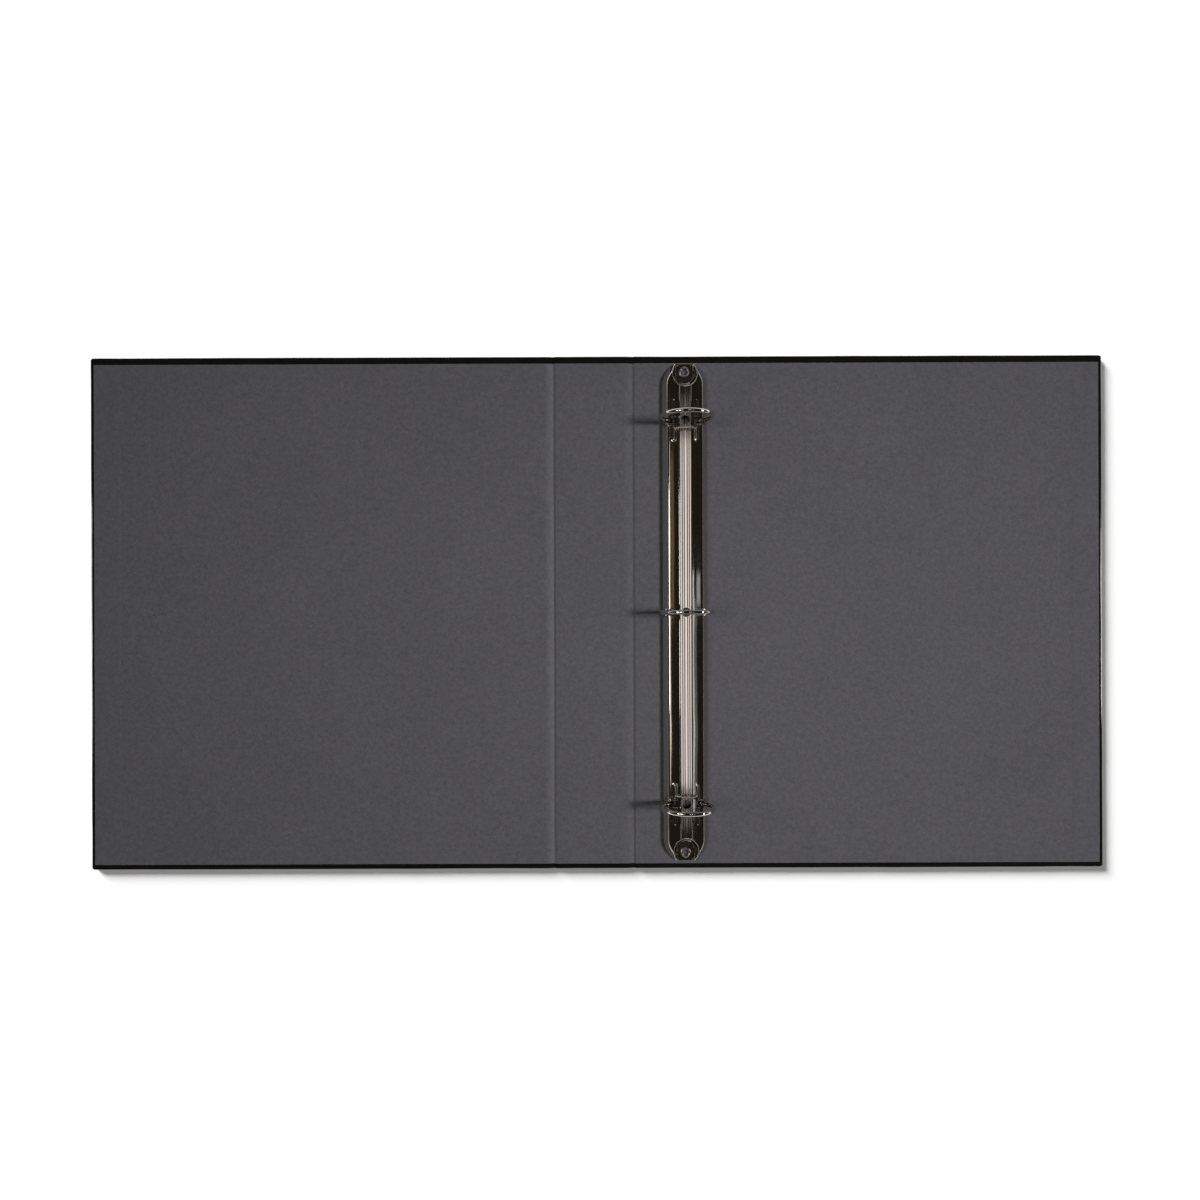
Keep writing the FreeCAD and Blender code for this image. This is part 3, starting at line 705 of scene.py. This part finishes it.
def housing_surface():
    """The housing's outer face: rows along it, columns from one rolled lip over to the other.

    A leg slot is open from SLOT_NEAR to SLOT_FAR from the middle, and SLOT_HALF to each side of
    its ring. The stations are closer where a hole, a bead or the dish needs them.
    """
    outer = -RING_YS[2] / MM
    rivet = -RIVET_YS[1] / MM
    hole, reach = CROWN_HOLE[:2]
    bead_from, bead_to, dish_from, end = 10.2, 13.6, 126.0, 141.0
    half = stations((0, SLOT_HALF, 0.35), (SLOT_HALF, hole, 0.2), (hole, reach, 0.4),
                    (reach, outer - bead_to, 3.0), (outer - bead_to, outer - bead_from, 0.35),
                    (outer - bead_from, outer - reach, 2.0), (outer - reach, outer - hole, 0.4),
                    (outer - hole, outer - SLOT_HALF, 0.2), (outer - SLOT_HALF, outer + SLOT_HALF, 0.35),
                    (outer + SLOT_HALF, outer + hole, 0.2), (outer + hole, outer + reach, 0.4),
                    (outer + reach, outer + bead_from, 2.0), (outer + bead_from, outer + bead_to, 0.35),
                    (outer + bead_to, dish_from, 1.5), (dish_from, rivet - RIVET_HOLE[0], 0.4),
                    (rivet - RIVET_HOLE[0], rivet + RIVET_HOLE[0], 0.4), (rivet + RIVET_HOLE[0], end, 0.4))
    y = np.concatenate([-half[:0:-1], half])
    across = stations((0, RIVET_HOLE[0], 0.1), (RIVET_HOLE[0], hole, 0.1), (hole, RIDGE_HALF_WIDTH, 0.1),
                      (RIDGE_HALF_WIDTH, SLOT_NEAR, 0.3), (SLOT_NEAR, 8.0, 0.35), (8.0, SLOT_FAR, 0.35),
                      (SLOT_FAR, FACE_HALF_WIDTH, 0.35))
    across = np.concatenate([-across[:0:-1], across])
    half_width, out_x, out_y = plan_half_width(y, FACE_INSET)
    squeeze = 1.0 + ((half_width / FACE_HALF_WIDTH - 1.0)[:, None]
                     * smooth((np.abs(across) - hole) / 6.0)[None, :])
    grid_x = across[None, :] * squeeze
    grid_y = np.broadcast_to(y[:, None], grid_x.shape)
    holes = []
    for middle, (inner, reach, radius) in ([(ring / MM, CROWN_HOLE) for ring in RING_YS]
                                           + [(place / MM, RIVET_HOLE) for place in RIVET_YS]):
        holes.append((middle, inner))
        grid_x, grid_y = round_hole(grid_x, grid_y, middle, inner, reach, radius)
    face = np.stack([grid_x, grid_y, housing_height(grid_x, grid_y)], -1)
    turn = np.radians([5, -22, -46, -68, -90.0])
    drawn = np.concatenate([LIP_CENTRE[0] - LIP_RADIUS * np.cos(turn), [2.4, LIP_END]])
    drop = np.concatenate([LIP_CENTRE[1] + LIP_RADIUS * np.sin(turn), [0.3, 0.3]])
    skirts = []
    for side in (-1, 1):
        away = FACE_INSET - drawn[None, :]
        px = side * (half_width[:, None] + away * out_x[:, None])
        py = y[:, None] + away * out_y[:, None]
        skirts.append(np.stack([px, py, np.broadcast_to(drop, px.shape)], -1))
    points = np.concatenate([skirts[0][:, ::-1], face, skirts[1]], 1)
    rows, columns = points.shape[:2]
    keep = np.ones((rows - 1, columns - 1), bool)
    middle_y = (y[1:] + y[:-1]) / 2
    beyond = np.full(len(drawn), 99.0)
    middle_x = np.concatenate([-beyond, (across[1:] + across[:-1]) / 2, beyond])
    for ring_y in RING_YS:
        keep[np.ix_(np.abs(middle_y - ring_y / MM) < SLOT_HALF,
                    (np.abs(middle_x) > SLOT_NEAR) & (np.abs(middle_x) < SLOT_FAR))] = False
    for middle, inner in holes:
        keep[np.ix_(np.abs(middle_y - middle) < inner, np.abs(middle_x) < inner)] = False
    lips = np.zeros(columns - 1, bool)
    lips[:2] = lips[-2:] = True
    keep[np.ix_(np.abs(middle_y) > PLATE_STRAIGHT - 1.0, lips)] = False
    return points, keep


def make_housing():
    """Pressed, nickel plated strip that carries the rings, at its sheet's thickness."""
    points, keep = housing_surface()
    points = points * MM + np.array([PLATE_X, 0, SEAT])
    piece = mesh_object("ring_housing_shell", points, grid_faces(*points.shape[:2], keep)[:, ::-1])
    thicken(piece, PLATE_SHEET * MM, even=False)
    soften(piece, 0.1 * MM)
    apply_modifiers(piece)
    dress(piece, PLATE_NICKEL)
    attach(piece, "back_cover")
    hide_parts("ring_housing")


def tube(name, centres, across, radii, count=32):
    """A closed round surface along a path in a plane of constant y.

    Row k is a circle of radius radii[k] round centres[k], spanned by across[k] and the Y axis.
    """
    turn = np.linspace(0, 2 * math.pi, count, endpoint=False)
    ring = (np.cos(turn)[None, :, None] * across[:, None, :]
            + np.sin(turn)[None, :, None] * np.array([0, 1, 0]))
    points = centres[:, None, :] + radii[:, None, None] * ring
    piece = mesh_object(name, points, grid_faces(len(radii), count, wrap_columns=True))
    merge_and_orient(piece, 0.0005 * MM)
    piece.data.set_sharp_from_angle(angle=math.radians(38))
    return piece


def ring_path(side):
    """Left half ring's centre line from its tip to its riveted end: places, ways and radii, in mm.

    Round from the top on the ring's radius, a small reverse bend, then a straight leg square to
    the hinge plate; and at the ends the tapered peg or socket, and the shank with its head.
    """
    inward = np.array([math.cos(BLADE_TILT), -math.sin(BLADE_TILT)])
    normal = np.array([math.sin(BLADE_TILT), math.cos(BLADE_TILT)])
    start = LEG_FOOT - inward * LEG_BEND - RING_CENTRE
    along = start @ normal
    climb = -along - math.sqrt(along ** 2 - start @ start + (RING_RADIUS + LEG_BEND) ** 2)
    hub = start + normal * climb + RING_CENTRE
    touch = math.atan2(*(hub - RING_CENTRE)[::-1]) + 2 * math.pi
    half_joint = 0.05  # from the middle of the ring's top to each half's shoulder
    first = math.pi / 2 + math.asin(half_joint / RING_RADIUS)
    tip = RING_CENTRE + RING_RADIUS * np.array([math.cos(first), math.sin(first)])
    way = np.array([-math.sin(first), math.cos(first)])
    peg = [(-1.0, 0.0), (-1.0, 0.42), (-0.92, 0.56), (0.0, 0.85)]
    socket = [(1.15, 0.0), (1.15, 0.7), (0.04, 1.0), (0.0, 1.03)]
    ends = np.array((peg if side < 0 else socket) + [(0.0, 1.1), (0.03, 1.18), (0.12, 1.24)])
    bow = np.linspace(first + 0.022, touch, 60)
    bend = np.linspace(touch - math.pi, -BLADE_TILT, 14)[1:]
    leg = np.array([(2.0, WIRE_RADIUS), (0.6, WIRE_RADIUS), (0.5, 1.18), (0.5, 1.0), (-0.5, 1.0),
                    (-0.5, 1.2), (-0.82, 1.2), (-0.9, 1.1), (-0.9, 0.0)])
    places = np.vstack([tip + ends[:, :1] * way,
                        RING_CENTRE + RING_RADIUS * np.column_stack([np.cos(bow), np.sin(bow)]),
                        hub + LEG_BEND * np.column_stack([np.cos(bend), np.sin(bend)]),
                        LEG_FOOT + np.minimum(leg[:, :1], climb * 0.95) * normal])
    ways = np.vstack([np.tile(way, (len(ends), 1)), np.column_stack([-np.sin(bow), np.cos(bow)]),
                      np.column_stack([np.sin(bend), -np.cos(bend)]), np.tile(-normal, (len(leg), 1))])
    radii = np.concatenate([ends[:, 1], np.full(len(bow) + len(bend), WIRE_RADIUS), leg[:, 1]])
    return places, ways, radii


def make_rings():
    """Six half rings of round wire, each riding on its side's hinge plate."""
    for side, word in ((-1, "left"), (1, "right")):
        places, ways, radii = ring_path(side)
        for place, y in zip(("upper", "middle", "lower"), RING_YS):
            centres = np.stack([PLATE_X - side * places[:, 0] * MM, np.full(len(radii), y),
                                SEAT + places[:, 1] * MM], 1)
            across = np.stack([side * ways[:, 1], np.zeros(len(radii)), ways[:, 0]], 1)
            piece = tube(place + "_" + word + "_ring_wire", centres, across, radii * MM)
            dress(piece, WIRE_NICKEL)
            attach(piece, word + "_rings")
            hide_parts(place + "_" + word + "_half_ring")


def make_rivets():
    """Semi-tubular rivets, turned about their axis: flush head outside, rolled rim in the dish.

    The profile is pairs of radius and height in millimetres, from the head's middle to the
    bottom of the bore. The rim is a little five-lobed, as a riveting tool leaves it.
    """
    top = (SEAT + PLATE_SHEET * MM) / MM
    roll = np.radians([-20, 10, 35, 60, 90, 120, 150, 180.0])
    rim = [(2.3 + 0.6 * math.cos(a), top + 0.6 + 0.6 * math.sin(a)) for a in roll]
    profile = [(0, 0.02), (4.3, 0.02), (4.48, 0.12), (4.48, 0.5), (4.4, 0.58), (2.3, 0.6), (2.3, top),
               (2.7, top + 0.02)] + rim + [(1.7, 2.2), (1.6, 1.75), (1.2, 1.5), (0, 1.42)]
    radius, height = np.array(profile).T * MM
    turn = np.linspace(0, 2 * math.pi, 48, endpoint=False)
    for place, y in zip(("upper", "lower"), RIVET_YS):
        lobes = 0.015 * np.sin(5 * turn + (0.4 if y > 0 else 1.9))
        uneven = 1.0 + lobes[None, :] * (height > top * MM)[:, None]
        points = np.stack([PLATE_X + radius[:, None] * uneven * np.cos(turn),
                           y + radius[:, None] * uneven * np.sin(turn),
                           np.broadcast_to(height[:, None], uneven.shape)], -1)
        piece = mesh_object(place + "_tubular_rivet", points, grid_faces(len(radius), 48, wrap_columns=True))
        merge_and_orient(piece, 0.0005 * MM)
        piece.data.set_sharp_from_angle(angle=math.radians(50))
        dress(piece, RIVET_NICKEL)
        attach(piece, "back_cover")
        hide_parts(place + "_rivet")


# ---------------------------------------------------------------- CAD nodes that stay
def dress_node(name, material):
    """Give a CAD node that stays in view its material."""
    node = frame["nodes"][name]
    node.data.materials.clear()
    node.data.materials.append(material)


def dress_nodes():
    """Materials for the boards and the hinge plates, which keep their CAD shape."""
    for name in ("front_board", "spine_board", "back_board"):
        dress_node(name, GREY_BOARD)
    for name in ("left_hinge_plate", "right_hinge_plate"):
        dress_node(name, BLADE_STEEL)


# ---------------------------------------------------------------- floor, light and camera
def plain_floor():
    """A wide pale floor a hair under the plane that the case lies on."""
    reach = 6.0
    corners = reach * np.array([[-1, -1, 0], [1, -1, 0], [1, 1, 0], [-1, 1, 0]], float)
    floor = mesh_object("floor", corners, np.array([[0, 1, 2, 3]]))
    floor.location.z = -0.05 * MM
    material, _, shader = new_material("pale floor", (0.86, 0.86, 0.86), 0.9, specular=0.0)
    shader.inputs["Emission Color"].default_value = (1, 1, 1, 1)
    shader.inputs["Emission Strength"].default_value = 0.22
    floor.data.materials.append(material)
    return floor


def floor_link(name, floor, state):
    """A light linking collection that takes the floor alone in, or leaves the floor alone out."""
    group = bpy.data.collections.new(name)
    group.objects.link(floor)
    group.collection_objects[0].light_linking.link_state = state
    return group


def gathered(name, *endings):
    """A collection of the pieces whose names have one of these endings, for light linking."""
    group = bpy.data.collections.new(name)
    for piece in bpy.data.objects:
        if piece.name.endswith(endings):
            group.objects.link(piece)
    return group


def softbox(name, place, aim, width, height, radiance, color, receiver):
    """A rectangular lamp of even radiance, width across the floor's Y and height square to it.

    Its power is pi times its area times its radiance, and it lights the receiver's pieces alone.
    """
    data = bpy.data.lights.new(name, "AREA")
    data.shape = "RECTANGLE"
    data.size, data.size_y = width, height
    data.energy = math.pi * width * height * radiance
    data.color = color
    lamp = bpy.data.objects.new(name, data)
    bpy.context.scene.collection.objects.link(lamp)
    back = np.array(place, float) - np.array(aim, float)
    back /= np.linalg.norm(back)
    upright = np.cross(back, [0, 1, 0])
    upright /= np.linalg.norm(upright)
    level = np.cross(upright, back)
    rows = np.stack([level, upright, back], 1).tolist()
    lamp.matrix_world = Matrix([[*row, at] for row, at in zip(rows, place)] + [[0, 0, 0, 1]])
    lamp.light_linking.receiver_collection = receiver
    return lamp


def studio(floor):
    """Compact key on the right, a broad fill on the left, strips above, and a light for the floor."""
    object_only = floor_link("all but the floor", floor, "EXCLUDE")
    wraps = gathered("wraps only", "_half_wrap")
    wires = gathered("wires and rivets", "_ring_wire", "_tubular_rivet")
    metal = gathered("bright metal", "_ring_wire", "_tubular_rivet", "_housing_shell")
    plate = gathered("plate and rivets", "_tubular_rivet", "_housing_shell")
    aim = (PLATE_X, -0.03, 0)
    white = (1, 1, 1)
    key = softbox("key lamp", (1.48, 0.03, 1.74), aim, 0.33, 0.33, 9.1, (1.0, 0.985, 1.01), object_only)
    fill = softbox("left fill", (-1.21, 0.05, 1.8), aim, 0.6, 0.5, 0.98, (1.0, 0.98, 0.95), object_only)
    for lamp in (key, fill):
        lamp.visible_glossy = False
        lamp.data.spread = math.radians(45)
    for name, place, target, width, height, radiance, color, receiver in (
            ("glint on the rings, right", (1.79, 0, 1.0), aim, 0.34, 0.2, 30.0, white, wires),
            ("glint on the rings, left", (-1.44, 0, 1.38), aim, 0.34, 0.2, 24.0, white, wires),
            ("left window in the metal", (-1.15, 0.03, 1.75), aim, 0.7, 0.4, 5.0, (1.0, 0.97, 0.93), metal),
            ("glow beyond the tail", (PLATE_X, -1.75, 0.8), (PLATE_X, -0.12, 0), 0.3, 1.2, 0.85,
             (1.0, 0.97, 0.94), plate),
            ("glow beyond the head", (PLATE_X, 1.75, 0.8), (PLATE_X, 0.12, 0), 0.3, 1.2, 0.85,
             (1.0, 0.97, 0.94), plate),
            ("glint on the right edge", (1.79, -0.03, 0.9), (0.288, -0.03, 0), 0.46, 0.9, 20.0,
             white, wraps),
            ("glint on the left edge", (-1.79, -0.02, 0.9), (-0.288, -0.02, 0), 0.6, 0.9, 9.0,
             white, wraps),
            ("overhead strip", (0.2, 0, 1.5), (0.2, 0, 0), 0.84, 0.24, 0.95,
             (1.0, 0.95, 0.965), object_only),
            ("overhead strip's faint ends", (0.2, 0, 1.52), (0.2, 0, 0), 1.04, 0.1, 0.2,
             (1.0, 0.95, 0.93), object_only),
            ("left strip, lower half", (-0.6, -0.22, 1.5), (-0.4, -0.22, 0), 0.44, 0.12, 1.1,
             (1.0, 0.95, 0.87), object_only),
            ("left strip, upper half", (-0.6, 0.22, 1.5), (-0.4, 0.22, 0), 0.44, 0.11, 0.9,
             (1.0, 0.88, 0.7), object_only),
            ("left amber edge", (-0.42, 0.2, 1.5), (-0.3, 0.2, 0), 0.4, 0.14, 0.12,
             (1.0, 0.7, 0.35), object_only),
            ("right strip", (0.57, -0.2, 1.5), (0.4, -0.2, 0), 0.6, 0.07, 0.75, white, object_only),
            ("right strip's soft side", (0.68, -0.2, 1.5), (0.5, -0.2, 0), 0.5, 0.16, 0.12,
             white, object_only),
            ("small cool window", (0.87, 0.06, 1.5), (0.5, 0, 0), 0.08, 0.2, 0.4,
             (0.85, 0.93, 1.0), object_only)):
        softbox(name, place, target, width, height, radiance, color, receiver)
    floor_light(floor, wraps)
    studio_room()


def floor_light(floor, casters):
    """A low, very soft sun that lights the floor alone and takes only the casters' shadow."""
    sun = bpy.data.lights.new("floor light", "SUN")
    sun.energy = 9.6
    sun.angle = math.radians(24)
    lamp = bpy.data.objects.new("floor light", sun)
    bpy.context.scene.collection.objects.link(lamp)
    lamp.rotation_euler = (0, math.radians(-71.5), math.radians(-45))
    lamp.light_linking.receiver_collection = floor_link("floor only", floor, "INCLUDE")
    lamp.light_linking.blocker_collection = casters


def studio_room():
    """The room's faint even light, a warm grey that is paler low down than overhead."""
    world = bpy.data.worlds.new("studio room")
    world.use_nodes = True
    bpy.context.scene.world = world
    tree = world.node_tree
    split = tree.nodes.new("ShaderNodeSeparateXYZ")
    tree.links.new(tree.nodes.new("ShaderNodeTexCoord").outputs["Generated"], split.inputs[0])
    ramp = tree.nodes.new("ShaderNodeValToRGB")
    ramp.color_ramp.elements[0].position = 0.1
    ramp.color_ramp.elements[0].color = (0.075, 0.071, 0.067, 1)
    ramp.color_ramp.elements[1].position = 0.45
    ramp.color_ramp.elements[1].color = (0.016, 0.0125, 0.009, 1)
    tree.links.new(split.outputs["Z"], ramp.inputs[0])
    tree.links.new(ramp.outputs[0], tree.nodes["Background"].inputs["Color"])
    bpy.context.scene.view_settings.view_transform = "Standard"


def camera_above():
    """A camera straight above the case, turned a fifth of a degree, that sees it whole."""
    eye_height = 0.467
    seen_width = 0.684  # across the view, on the covers' upper face
    data = bpy.data.cameras.new("camera")
    data.sensor_width = 36.0
    data.lens = 36.0 * (eye_height - SEAT) / seen_width
    data.shift_y = 0.0104
    data.clip_start = 0.01
    data.clip_end = 50.0
    camera = bpy.data.objects.new("camera", data)
    bpy.context.scene.collection.objects.link(camera)
    camera.location = (0.0019, 0, eye_height)
    camera.rotation_euler = (0, 0, math.radians(-0.19))
    bpy.context.scene.camera = camera


make_case()
make_housing()
make_rings()
make_rivets()
dress_nodes()
studio(plain_floor())
camera_above()
